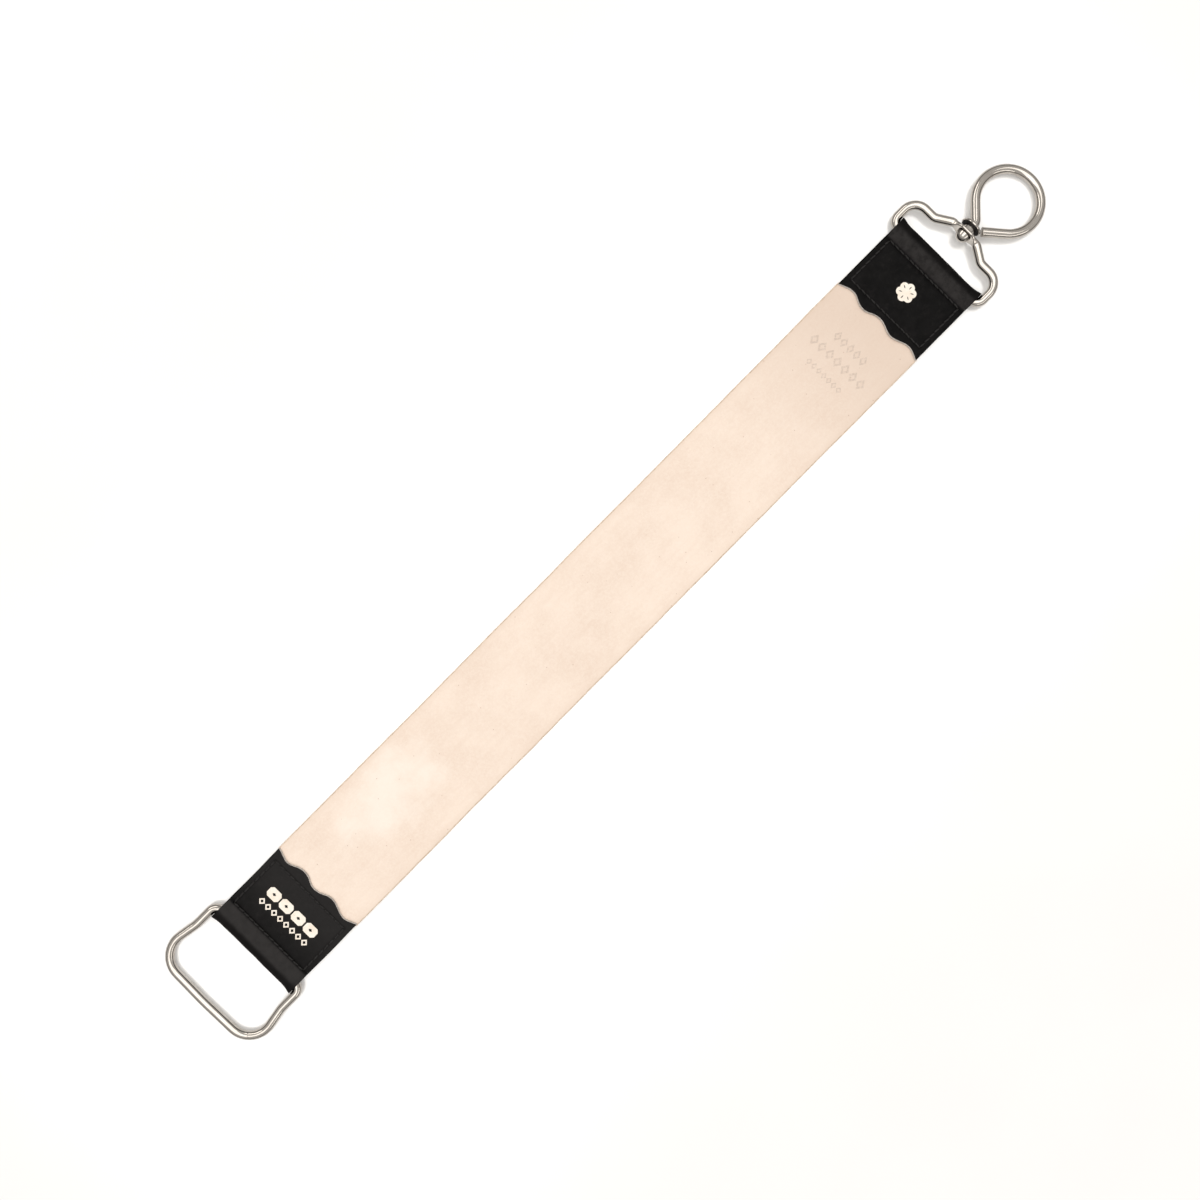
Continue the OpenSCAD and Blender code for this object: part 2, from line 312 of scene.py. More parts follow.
def strap_grain():
    g = Graph("strap_grain", Roughness=0.55, Specular_IOR_Level=0.3)
    tone = strap_colour(g)
    # Pores: a dot in some of the cells
    pores = g.cells(3.1)
    chance = g.add("ShaderNodeSeparateColor", {"Color": pores.outputs["Color"]}).outputs[0]
    dot = g.fade(pores.outputs["Distance"], 0.085, 0.045)
    pore = g.math("MULTIPLY", dot, g.fade(chance, 0.62, 0.7))
    tone = g.mix(g.math("MULTIPLY", pore, 0.55), tone, (0.36, 0.20, 0.12))
    # Three faint columns of stamped lozenges
    ink_wear = g.fade(g.noise(0.8, 3, 0.7), 0.36, 0.56, 0.15, 1.0)
    ink = lozenge_column(g, 134.6, 1.6, 3.1, 7)
    ink = g.math("MAXIMUM", ink, lozenge_column(g, 143.2, 2.7, 4.85, 7))
    ink = g.math("MAXIMUM", ink, lozenge_column(g, 151.5, 2.5, 4.0, 5))
    ink = g.math("MULTIPLY", g.math("MULTIPLY", ink, ink_wear), 0.34)
    tone = g.mix(ink, tone, (0.34, 0.265, 0.22))
    g.drive("Base Color", tone)
    g.drive("Roughness", g.fade(g.noise(9, 4, 0.6), 0.3, 0.7, 0.46, 0.62))
    relief = g.bump(g.cells(0.55, "SMOOTH_F1").outputs["Distance"], 0.035)
    relief = g.bump(g.noise(0.22, 2, 0.6), 0.02, relief)
    relief = g.bump(g.noise(7, 3, 0.55), 0.09, relief)
    relief = g.bump(pore, -0.05, relief)
    g.drive("Normal", relief)
    return g.material


def strap_flesh():
    """The strap's underside: buff suede with loose fibres."""
    g = Graph("strap_flesh", Roughness=0.95, Specular_IOR_Level=0.15, Sheen_Weight=0.25, Sheen_Roughness=0.5)
    cloud = g.noise(15, 4, 0.6)
    nap = g.noise(0.5, 4, 0.75, distortion=0.8)
    tone = g.mix(g.fade(cloud, 0.3, 0.7), (0.60, 0.43, 0.30), (0.70, 0.52, 0.38))
    tone = g.mix(g.fade(nap, 0.35, 0.7, 0.0, 0.6), tone, (0.46, 0.31, 0.21))
    g.drive("Base Color", tone)
    g.drive("Normal", g.bump(g.noise(1.6, 3, 0.6), 0.18, g.bump(nap, 0.12)))
    return g.material


def strap_edge():
    """The strap's cut edges: lighter fibres in layers along the strap."""
    g = Graph("strap_edge", Roughness=0.8, Specular_IOR_Level=0.25)
    layers = g.noise(0.35, 3, 0.7, g.stretched(0.15, 1, 1))
    tone = g.mix(g.fade(layers, 0.35, 0.65), (0.56, 0.42, 0.31), (0.80, 0.65, 0.52))
    g.drive("Base Color", tone)
    g.drive("Normal", g.bump(layers, 0.07))
    return g.material


def cap_grain():
    """Black full-grain leather with a fine pebble and rubbed patches, with painted sheen where it wraps the
    wire and painted shade in the fold and seam.
    """
    g = Graph("cap_grain", Roughness=0.5)
    x = g.axis(0)
    cloud = g.noise(8, 3, 0.6)
    pebble = g.cells(0.62, "SMOOTH_F1").outputs["Distance"]
    rub = g.fade(g.noise(2.4, 4, 0.7), 0.5, 0.75)
    tone = g.mix(g.fade(cloud, 0.3, 0.7), (0.0022, 0.002, 0.002), (0.0045, 0.004, 0.004))
    tone = g.mix(g.math("MULTIPLY", rub, 0.3), tone, (0.022, 0.019, 0.018))
    from_middle = g.math("ABSOLUTE", g.math("SUBTRACT", x, LEATHER_MID * MM))
    band = g.fade(from_middle, (LEATHER_HALF - 11.4) * MM, (LEATHER_HALF - 9.8) * MM)
    # Painted shade: the round of the fold is darker than the band beside it
    fold = g.fade(from_middle, (LEATHER_HALF - 5.6) * MM, (LEATHER_HALF - 3.2) * MM, 1.0, 0.15)
    # Painted sheen: the band that wraps the wire is made lighter in patches, as the overhead light catches
    # its slope
    patches = g.fade(g.noise(3.5, 4, 0.65), 0.3, 0.65, 0.35, 0.9)
    band_sheen = g.math("MULTIPLY", g.math("MULTIPLY", band, fold), patches)
    tone = g.mix(band_sheen, tone, (0.028, 0.0255, 0.025))
    # Painted sheen: the handle's cap is greyer, as the light is brighter on that side, and its flap darkens
    # again towards the seam
    flap = g.fade(from_middle, (LEATHER_HALF - 34) * MM, (LEATHER_HALF - 12) * MM, 0.92, 0.2)
    handle_sheen = g.math("MULTIPLY", g.math("MAXIMUM", band, flap), fold)
    handle_sheen = g.math("MULTIPLY", g.fade(x, 50 * MM, -50 * MM, 0.0, 0.55), handle_sheen)
    tone = g.mix(handle_sheen, tone, (0.029, 0.027, 0.0265))
    # Painted shade: dark in the groove of the seam beside the fold
    seam = g.math("ABSOLUTE", g.math("SUBTRACT", from_middle, (LEATHER_HALF - SEAM_ROW_D) * MM))
    seam = g.math("ADD", seam, g.math("MULTIPLY", g.noise(1.2, 2, 0.5), 0.6 * MM))
    tone = g.mix(g.fade(seam, 1.5 * MM, 0.5 * MM, 0.0, 0.85), tone, (0.0022, 0.002, 0.002))
    g.drive("Base Color", tone)
    # The handle's cap is waxier, and both folds are duller than the flaps
    cap_gloss = g.fade(x, 50 * MM, -50 * MM, 0.074, 0.085)
    g.drive("Specular IOR Level", g.math("MULTIPLY", cap_gloss, g.fade(fold, 0.15, 1.0, 0.5, 1.0)))
    g.drive("Roughness", g.fade(g.noise(3.0, 4, 0.65), 0.3, 0.7, 0.45, 0.62))
    relief = g.bump(pebble, 0.085)
    relief = g.bump(g.noise(0.25, 3, 0.6), 0.03, relief)
    relief = g.bump(g.noise(2.6, 3, 0.55), 0.07, relief)
    g.drive("Normal", relief)
    return g.material


def cap_flesh():
    """The caps' inner face and dyed side edges: dull black suede."""
    g = Graph("cap_flesh", Roughness=0.92, Specular_IOR_Level=0.12)
    nap = g.noise(0.35, 4, 0.75, distortion=0.6)
    g.drive("Base Color", g.mix(g.fade(nap, 0.35, 0.7), (0.006, 0.0055, 0.0055), (0.02, 0.018, 0.017)))
    g.drive("Normal", g.bump(nap, 0.08))
    return g.material


def cap_edge():
    """Cut edge of the cap leather: the undyed core shows through the black as pale grey."""
    g = Graph("cap_edge", Roughness=0.85, Specular_IOR_Level=0.2)
    fibres = g.noise(0.3, 3, 0.7)
    patches = g.noise(3.0, 3, 0.6)
    tone = g.mix(g.fade(fibres, 0.35, 0.65), (0.38, 0.35, 0.325), (0.66, 0.62, 0.58))
    tone = g.mix(g.fade(patches, 0.52, 0.7, 0.0, 0.5), tone, (0.14, 0.128, 0.118))
    g.drive("Base Color", tone)
    g.drive("Normal", g.bump(fibres, 0.08))
    return g.material


def waxed_thread():
    g = Graph("waxed_thread", Roughness=0.5, Specular_IOR_Level=0.2)
    fuzz = g.noise(0.15, 3, 0.7)
    g.drive("Base Color", g.mix(g.fade(fuzz, 0.35, 0.7), (0.012, 0.011, 0.011), (0.03, 0.028, 0.027)))
    g.drive("Roughness", g.fade(g.noise(1.5, 2, 0.5), 0.3, 0.7, 0.38, 0.6))
    g.drive("Normal", g.bump(fuzz, 0.03))
    return g.material


def hot_foil():
    """Cream foil pressed onto the grain, with a few specks where it has not taken."""
    g = Graph("hot_foil", Roughness=0.4, Specular_IOR_Level=0.5)
    pebble = g.cells(0.62, "SMOOTH_F1").outputs["Distance"]
    specks = g.fade(g.noise(0.35, 4, 0.75), 0.66, 0.7)
    soft = g.noise(4, 3, 0.6)
    tone = g.mix(g.fade(soft, 0.3, 0.7), (0.86, 0.76, 0.64), (0.93, 0.86, 0.77))
    g.drive("Base Color", g.mix(g.math("MULTIPLY", specks, 0.8), tone, (0.10, 0.085, 0.075)))
    g.drive("Roughness", g.fade(g.noise(1.2, 3, 0.6), 0.3, 0.7, 0.33, 0.5))
    g.drive("Normal", g.bump(pebble, 0.03))
    return g.material


def nickel():
    """Bright nickel plating, faintly brushed along the wire and a little dulled by handling."""
    g = Graph("nickel", Metallic=1.0, Roughness=0.14)
    along = g.add("ShaderNodeUVMap", uv_map="UVMap").outputs[0]
    haze = g.noise(5, 4, 0.6)
    lines = g.noise(0.16, 3, 0.6, g.stretched(0.05, 1, 1, along))
    spots = g.fade(g.noise(1.3, 4, 0.7), 0.62, 0.74)
    tone = g.mix(g.fade(haze, 0.3, 0.7), (0.47, 0.435, 0.395), (0.53, 0.495, 0.455))
    tone = g.mix(g.math("MULTIPLY", spots, 0.22), tone, (0.34, 0.30, 0.25))
    g.drive("Base Color", tone)
    gloss = g.fade(haze, 0.3, 0.75, 0.06, 0.11)
    g.drive("Roughness", g.math("ADD", gloss, g.math("MULTIPLY", lines, 0.05)))
    relief = g.bump(lines, 0.0025)
    relief = g.bump(g.noise(3.2, 2, 0.5), 0.012, relief)
    g.drive("Normal", relief)
    return g.material


def collar_shade():
    """Painted shade: near-black, dull steel standing in for the shade and dark reflections on the collar's
    hidden face.
    """
    g = Graph("collar_shade", Metallic=0.4, Roughness=0.55, Specular_IOR_Level=0.2)
    specks = g.noise(0.4, 4, 0.7)
    g.drive("Base Color", g.mix(g.fade(specks, 0.35, 0.7), (0.012, 0.011, 0.011), (0.045, 0.04, 0.037)))
    g.drive("Normal", g.bump(specks, 0.02))
    return g.material


def pale_floor():
    """A white, slightly glossy table top."""
    g = Graph("pale_floor", Roughness=0.2, Specular_IOR_Level=0.3, Metallic=0.16)
    cloud = g.fade(g.noise(90, 2, 0.5), 0.3, 0.7)
    g.drive("Base Color", g.mix(cloud, (0.965, 0.965, 0.965), (0.98, 0.98, 0.98)))
    return g.material


# ---------------------------------------------------------------- leather strap

# Material slots of the strap and the caps
GRAIN, EDGE, FLESH = 0, 1, 2


def strap_mesh():
    """The strap as a loft along X: smooth face up, flesh side down, cut edges."""
    tail = LEATHER_HALF - FOLD_TO_SEAM + 1.6
    stations = np.linspace(-tail, tail, 268)
    from_middle = abs(stations)
    cap_tip = LEATHER_HALF - np.where(stations > 0, HOOK_CAP_LEN, HANDLE_CAP_LEN)
    rise = (1 - np.cos(math.pi * np.clip((from_middle - cap_tip + 1 + RAMP_LEN) / RAMP_LEN, 0, 1))) / 2
    # Free of the caps it wanders and ripples; inside them it is skived thinner
    free = 1 - smooth((from_middle - 160) / 16)
    skive = smooth((from_middle - 196) / 14)
    edge_r, flat_count = 0.6, 41
    flat_y = STRAP_W / 2 - edge_r
    top_y = np.linspace(flat_y, -flat_y, flat_count)
    turn = np.radians(np.linspace(90, -90, 9)[1:-1])
    edge_y = -flat_y - edge_r * np.cos(turn)
    edge_z = np.sin(turn)
    y = np.concatenate([top_y, edge_y, -top_y, -edge_y])
    level = np.concatenate([np.ones(flat_count), edge_z, -np.ones(flat_count), -edge_z])
    sides = len(y)
    x_grid, y_grid = np.meshgrid(stations, y, indexing="ij")
    wander = 0.11 * waves(stations, 0, 38, 3) + 0.05 * waves(stations, 0, 7, 4)
    wander_far = 0.11 * waves(stations, 0, 38, 5) + 0.05 * waves(stations, 0, 7, 6)
    # Only the outer 5 mm of each side wander
    share = np.clip((abs(y) - 20) / 5, 0, 1)
    y_grid = y_grid + share * np.where(y > 0, wander[:, None], wander_far[:, None]) * free[:, None]
    # Inside the caps the strap is trimmed so that its edges stay hidden
    trim = 0.6 * smooth((from_middle - cap_tip - 0.5) / 2.5)
    y_grid = y_grid * (1 - trim / (STRAP_W / 2))[:, None]
    half = STRAP_T / 2 * (1 - 0.45 * skive)[:, None]
    middle = END_RISE * rise[:, None] + STRAP_T / 2
    # The cut sides are nearly upright, with small rounded corners
    squareness = np.sign(level) * abs(level) ** 0.35
    z_grid = middle + half * squareness
    ripple = 0.07 * waves(x_grid, y_grid, 34, 7) + 0.025 * waves(x_grid, y_grid, 6, 8)
    z_grid = z_grid + ripple * free[:, None] * np.clip(level, 0, 1)
    under = 0.03 * (1 + waves(x_grid, y_grid, 9, 9)) * (level < -0.5)
    z_grid = z_grid + np.clip(under, 0, None)
    verts = np.stack([x_grid + LEATHER_MID, y_grid, z_grid], -1).reshape(-1, 3)
    faces = tube_faces(len(stations), sides, closed=False)
    # Grain on top, flesh below, and the cut edge round the sides and both ends
    top_end = flat_count - 1
    flesh_start = flat_count + len(turn) + 1
    flesh_end = flesh_start + flat_count - 1
    kind = np.full(sides, EDGE)
    kind[:top_end] = GRAIN
    kind[flesh_start:flesh_end] = FLESH
    slots = np.tile(kind, len(stations) - 1).tolist() + [EDGE, EDGE]
    return verts, faces, slots


# ---------------------------------------------------------------- leather caps

# Steps of the caps' meshes round the fold, along each flap and round the cut edges
FOLD_STEPS = 30
FLAP_STEPS = 84
RIM_STEPS = 3


class Cap:
    """One folded cap. d is the distance from its fold's edge towards the middle of the strop."""

    def __init__(self, length, edge_x, inward, seed):
        """A cap of that length. inward is 1 or -1 along X, and seed varies its unevenness."""
        self.length = length
        self.edge_x = edge_x
        self.inward = inward
        self.seed = seed
        self.row_d = length - EDGE_TO_SEAM
        self.across_count = round(2 * SIDE_SEAM_Y / STITCH_PITCH)
        self.along_count = round((self.row_d - SEAM_ROW_D) / STITCH_PITCH)
        # Heights of the upper and lower outer faces where the seam draws them together
        self.top_seam_z = 5.45
        self.low_seam_z = 1.2
        self.top_touch = self.touch(self.top_seam_z, 1)
        self.low_touch = self.touch(self.low_seam_z, -1)

    def touch(self, seam_z, side):
        """Where the leather drawn straight from the seam meets the round of the fold."""
        dx, dz = FOLD_TO_SEAM - HINGE_D, seam_z - FOLD_R
        reach = math.hypot(dx, dz)
        angle = math.atan2(dz, dx) + side * math.acos(FOLD_R / reach)
        return HINGE_D + FOLD_R * math.cos(angle), FOLD_R + FOLD_R * math.sin(angle), angle

    def edge_d(self, y):
        """The wavy cut edge."""
        wave = WAVE_DEPTH * (1 + np.cos(math.tau * y / WAVE_PITCH)) / 2
        uneven = 0.12 * waves(y, 0, 9, self.seed) + 0.06 * waves(y, 0, 2.2, self.seed + 1)
        return self.length - wave + uneven

    def base_z(self, d, side):
        """Height of the outer face along a flap, before the stitches pull it in."""
        touch_d, touch_z, _ = self.top_touch if side > 0 else self.low_touch
        seam_z = self.top_seam_z if side > 0 else self.low_seam_z
        flap_z = FLAP_TOP if side > 0 else FLAP_BOTTOM
        sloping = touch_z + (seam_z - touch_z) * (d - touch_d) / (FOLD_TO_SEAM - touch_d)
        flat = flap_z + (seam_z - flap_z) * np.exp(-(((d - FOLD_TO_SEAM) / 1.5) ** 2))
        return np.where(d < FOLD_TO_SEAM, sloping, flat)

    def pull(self, d, y):
        """How far the stitches draw the leather in, and the small unevenness of the flap."""
        inside_y = smooth((SIDE_SEAM_Y + 0.8 - abs(y)) / 0.8)
        inside_d = smooth((self.row_d + 0.8 - d) / 0.8) * smooth((d - SEAM_ROW_D + 0.8) / 0.8)
        pitch_y = 2 * SIDE_SEAM_Y / self.across_count
        pitch_d = (self.row_d - SEAM_ROW_D) / self.along_count
        at_hole_y = ((1 + np.cos(math.tau * (y - SIDE_SEAM_Y) / pitch_y)) / 2) ** 5
        at_hole_d = ((1 + np.cos(math.tau * (d - SEAM_ROW_D) / pitch_d)) / 2) ** 5
        from_seam = d - SEAM_ROW_D
        seam_width = np.where(from_seam < 0, 1.0, 0.6)
        seam = np.exp(-((from_seam / seam_width) ** 2)) * inside_y
        row = np.exp(-(((d - self.row_d) / 0.6) ** 2)) * inside_y
        side = np.exp(-(((abs(y) - SIDE_SEAM_Y) / 0.6) ** 2)) * inside_d
        amount = seam * (0.26 + 0.42 * at_hole_y)
        amount = amount + row * (0.16 + 0.26 * at_hole_y)
        amount = amount + side * (0.14 + 0.26 * at_hole_d)
        return amount

    def lie(self, d, y):
        """Gentle unevenness of the whole flap, with its outer margin pressed down."""
        margin = 0.28 * smooth((abs(y) - SIDE_SEAM_Y - 0.3) / 2.2)
        lift = 0.16 * smooth((d - self.row_d - 1.2) / 3.5)
        quiet = 1 - np.exp(-(((d - 22.5) / 8) ** 4)) * np.exp(-((y / 17) ** 4))
        uneven = 0.07 * waves(d, y, 11, self.seed + 2) + 0.03 * waves(d, y, 3.5, self.seed + 3)
        return uneven * quiet - margin + lift

    def surface(self, d, y, side):
        """Height of the finished outer face of the upper (1) or lower (-1) flap."""
        return self.base_z(d, side) + side * (self.lie(d, y) - self.pull(d, y))

    def flare(self, d, y):
        """The fold is drawn in along its middle and stands out at its corners."""
        near = smooth((13 - d) / 9)
        corner = np.clip((abs(y) - 18.5) / 6.1, 0, 1) ** 2
        return near * (1.05 * corner + 0.1 * waves(y, 0, 12, self.seed + 4))

    def world(self, d, y, z):
        """Places in the part's own frame, in millimetres."""
        x = self.edge_x + self.inward * (d - self.flare(d, y))
        return np.stack(np.broadcast_arrays(x, y, z), -1)


def fold_outline(cap):
    """Points (d, z) and outward normals round the fold, from the upper to the lower flap."""
    start, end = cap.top_touch[2], cap.low_touch[2]
    upper = FOLD_R * (math.pi / 2 - start)
    round_len = math.pi * FOLD_R
    lower = FOLD_R * (math.pi / 2 + end)
    total = upper + FOLD_SLACK + round_len + FOLD_SLACK + lower
    points = []
    for s in np.linspace(0, total, FOLD_STEPS + 1):
        if s < upper:
            centre, angle, shift = HINGE_D, start + s / FOLD_R, 0
        elif s < upper + FOLD_SLACK:
            centre, angle, shift = HINGE_D, math.pi / 2, -(s - upper)
        elif s < upper + FOLD_SLACK + round_len:
            centre, angle, shift = FOLD_R, math.pi / 2 + (s - upper - FOLD_SLACK) / FOLD_R, 0
        elif s < total - lower:
            centre, angle, shift = FOLD_R, -math.pi / 2, s - upper - FOLD_SLACK - round_len
        else:
            centre, angle, shift = HINGE_D, -math.pi / 2 + (s - (total - lower)) / FOLD_R, 0
        normal = (math.cos(angle), math.sin(angle))
        points.append((centre + shift + FOLD_R * normal[0], FOLD_R + FOLD_R * normal[1], *normal))
    return np.array(points)


def cap_mesh(cap):
    """A cap as one closed skin: outer face, rounded cut edges and inner face."""
    half = CAP_W / 2
    full_count = 113
    full_y = np.linspace(-(half - 0.35), half - 0.35, full_count)
    # At each side the leather is rounded off: distance from the side, and share of its thickness
    from_side, part = np.array([(0.14, 0.93), (0.04, 0.75), (0.0, 0.45)]).T
    y = np.concatenate([from_side[::-1] - half, full_y, half - from_side])
    fullness = np.concatenate([part[::-1], np.ones(full_count), part])
    fold = fold_outline(cap)
    share = np.linspace(0, 1, FLAP_STEPS + 1)
    outer, inner = [], []
    for side, touch in ((1, cap.top_touch), (-1, cap.low_touch)):
        d = cap.edge_d(y)[:, None] * (1 - share) + touch[0] * share
        grid_y = np.broadcast_to(y[:, None], d.shape)
        slope_in = cap.base_z(d + 0.05, side) - cap.base_z(d - 0.05, side)
        tilt = np.arctan2(slope_in, 0.1)
        outer_z = cap.surface(d, grid_y, side)
        soft_z = cap.base_z(d, side) + side * cap.lie(d, grid_y)
        thick = CAP_T * fullness[:, None]
        # At the sides both faces close in on the middle of the leather
        close = side * (CAP_T - thick) / 2
        outer_points = np.stack([d, grid_y, outer_z - close], -1)
        inner_d = d + side * np.sin(tilt) * CAP_T * 0.9 + 0.32 * (1 - share) ** 12
        inner_points = np.stack([inner_d, grid_y, soft_z - side * np.cos(tilt) * CAP_T + close], -1)
        if side < 0:
            outer_points, inner_points = outer_points[:, ::-1], inner_points[:, ::-1]
        outer.append(outer_points)
        inner.append(inner_points)
    fold_d = np.broadcast_to(fold[1:-1, 0], (len(y), FOLD_STEPS - 1))
    fold_y = np.broadcast_to(y[:, None], fold_d.shape)
    press = 0.06 * waves(fold[1:-1, 1][None, :] * 1.5, y[:, None], 8, cap.seed + 5)
    press = press - 0.12 * smooth((abs(y[:, None]) - 23.2) / 1.2)
    thick = CAP_T * fullness[:, None]
    close = (CAP_T - thick) / 2
    fold_z, normal_d, normal_z = fold[1:-1, 1], fold[1:-1, 2], fold[1:-1, 3]
    out, deep = press - close, CAP_T - close
    outer_fold = np.stack([fold_d + normal_d * out, fold_y, fold_z + normal_z * out], -1)
    inner_fold = np.stack([fold_d - normal_d * deep, fold_y, fold_z - normal_z * deep], -1)
    outer = np.concatenate([outer[0], outer_fold, outer[1]], 1)
    inner = np.concatenate([inner[0], inner_fold, inner[1]], 1)

    def rim(a, b):
        """Rounded cut edge from a to b, standing out towards the middle of the strop."""
        loops = []
        for k in range(1, RIM_STEPS + 1):
            t = k / (RIM_STEPS + 1)
            loops.append(a * (1 - t) + b * t + np.array([0.22 * math.sin(math.pi * t), 0, 0]))
        return np.stack(loops, 1)

    loop = np.concatenate(
        [outer, rim(outer[:, -1], inner[:, -1]), inner[:, ::-1], rim(inner[:, 0], outer[:, 0])], 1)
    wobble = 0.07 * waves(loop[..., 0], 0, 14, cap.seed + 6) * np.clip((abs(loop[..., 1]) - 20) / 4.6, 0, 1)
    loop[..., 1] += wobble
    world = cap.world(loop[..., 0], loop[..., 1], np.clip(loop[..., 2], 0.01, None))
    sides, count = loop.shape[1], outer.shape[1]
    faces = tube_faces(len(y), sides, closed=True)[: (len(y) - 1) * sides]
    slots = np.full((len(y) - 1, sides), EDGE)
    slots[:, : count - 1] = GRAIN
    slots[:, count + RIM_STEPS: 2 * count + RIM_STEPS - 1] = FLESH
    slots = slots.ravel().tolist()
    for j in (0, len(y) - 1):
        first = j * sides
        back = first + count + RIM_STEPS
        for i in range(count - 1):
            faces.append((first + i, first + i + 1, back + count - 2 - i, back + count - 1 - i))
            slots.append(FLESH)
        faces.append(tuple(range(first + count - 1, back + 1)))
        faces.append((*range(back + count - 1, first + sides), first))
        slots += [FLESH, FLESH]
    return world.reshape(-1, 3), faces, slots


def stitch_ends(cap):
    """Both holes of each stitch on one face, as (d, y) pairs."""
    ys = np.linspace(-SIDE_SEAM_Y, SIDE_SEAM_Y, cap.across_count + 1)
    ds = np.linspace(SEAM_ROW_D, cap.row_d, cap.along_count + 1)
    pairs = []
    for d in (SEAM_ROW_D, cap.row_d):
        pairs += [((d, a), (d, b)) for a, b in zip(ys, ys[1:])]
    for y in (-SIDE_SEAM_Y, SIDE_SEAM_Y):
        pairs += [((a, y), (b, y)) for a, b in zip(ds, ds[1:])]
    return pairs


def thread_mesh(cap):
    """Two-ply waxed thread: each stitch rises from one hole, lies on the leather and dives again."""
    rings, sides = 13, 10
    rng = np.random.default_rng(cap.seed + 7)
    verts, faces = [], []
    around = np.linspace(0, math.tau, sides, endpoint=False)
    for side in (1, -1):
        for start, end in stitch_ends(cap):
            slant = 0.16 * rng.uniform(0.6, 1.3)
            gap = rng.uniform(0.0, 0.05)
            t = np.linspace(0.06 + gap, 0.94 - gap, rings)
            run = np.array(end) - np.array(start)
            across = np.array([-run[1], run[0]]) / np.linalg.norm(run)
            path = np.array(start) + t[:, None] * run + across * (slant * (2 * t - 1))[:, None]
            bow = 1 - (2 * t - 1) ** 6
            lift = THREAD_R * (-1.5 + 2.15 * bow) + 0.03 * rng.uniform(-1, 1)
            z = cap.surface(path[:, 0], path[:, 1], side) + side * lift
            centre = cap.world(path[:, 0], path[:, 1], z)
            tangent = np.gradient(centre, axis=0)
            tangent /= np.linalg.norm(tangent, axis=1)[:, None]
            out = np.cross(tangent, np.cross(np.array([0, 0, 1.0]), tangent))
            out /= np.linalg.norm(out, axis=1)[:, None]
            beside = np.cross(tangent, out)
            twist = around[None, :] * 2 - (t * 13.0 + rng.uniform(0, 6))[:, None]
            radius = THREAD_R * (0.98 + 0.13 * np.cos(twist))
            ring = (
                centre[:, None]
                + out[:, None] * (np.cos(around) * radius)[..., None]
                + beside[:, None] * (np.sin(around) * radius)[..., None]
            )
            faces += tube_faces(rings, sides, closed=False, first=len(verts))
            verts += ring.reshape(-1, 3).tolist()
    return np.array(verts), faces


# ---------------------------------------------------------------- wires

AROUND = np.linspace(0, math.tau, WIRE_SIDES, endpoint=False)


def bend_path(points, bends):
    """Dense points round a closed wire: straight runs joined by arcs, as a wire bender makes them."""
    pts = [np.array(p, float) for p in points]
    path = []
    for i, (p, r) in enumerate(zip(pts, bends)):
        a = p - pts[i - 1]
        b = pts[(i + 1) % len(pts)] - p
        a, b = a / np.linalg.norm(a), b / np.linalg.norm(b)
        turn = math.atan2(a[0] * b[1] - a[1] * b[0], a @ b)
        cut = r * math.tan(abs(turn) / 2)
        side = math.copysign(1, turn)
        middle = p - a * cut + side * r * np.array([-a[1], a[0]])
        start = math.atan2(a[1], a[0]) - side * math.pi / 2
        # Steps of half a millimetre, and never coarser than on a 4 mm bend
        steps = max(3, math.ceil(abs(turn) * max(r, 4) / 0.5))
        for k in range(steps + 1):
            angle = start + turn * k / steps
            path.append(middle + r * np.array([math.cos(angle), math.sin(angle)]))
    dense, longest = [], 1.2
    for p, q in zip(path, path[1:] + path[:1]):
        count = int(np.linalg.norm(q - p) / longest) + 1
        dense += [p + (q - p) * k / count for k in range(count)]
    return np.array(dense)


def spaced(path):
    """Unit tangents round a closed path, and distances along it."""
    tangent = np.roll(path, -1, 0) - np.roll(path, 1, 0)
    tangent /= np.linalg.norm(tangent, axis=1)[:, None]
    return tangent, lengths(path)


def lengths(path):
    """Distances along a path from its first point."""
    steps = np.linalg.norm(np.diff(path, axis=0), axis=1)
    return np.concatenate([[0], np.cumsum(steps)])


def ring_uv(length, radius):
    """Texture places of one ring: distance along the wire, and distance round it."""
    return np.stack([np.full(WIRE_SIDES, length), AROUND * radius], -1) * MM


def tilted(origin, along, above):
    """Maps (s, y, h): s along one axis from the origin, y across, h above the plane."""

    def place(s, y, h):
        s, y, h = np.broadcast_arrays(s, y, h)
        point = np.asarray(origin) + s[..., None] * np.asarray(along) + h[..., None] * np.asarray(above)
        point[..., 1] += y
        return point

    return place


EYE = np.array(pos_mm("hook_swivel"))
SWIVEL_AXIS = np.array(joints["hook_swivel"]["axis"])
SWIVEL_UP = np.cross(SWIVEL_AXIS, np.array([0, 1.0, 0]))
swivel_place = tilted(EYE, SWIVEL_AXIS, SWIVEL_UP)


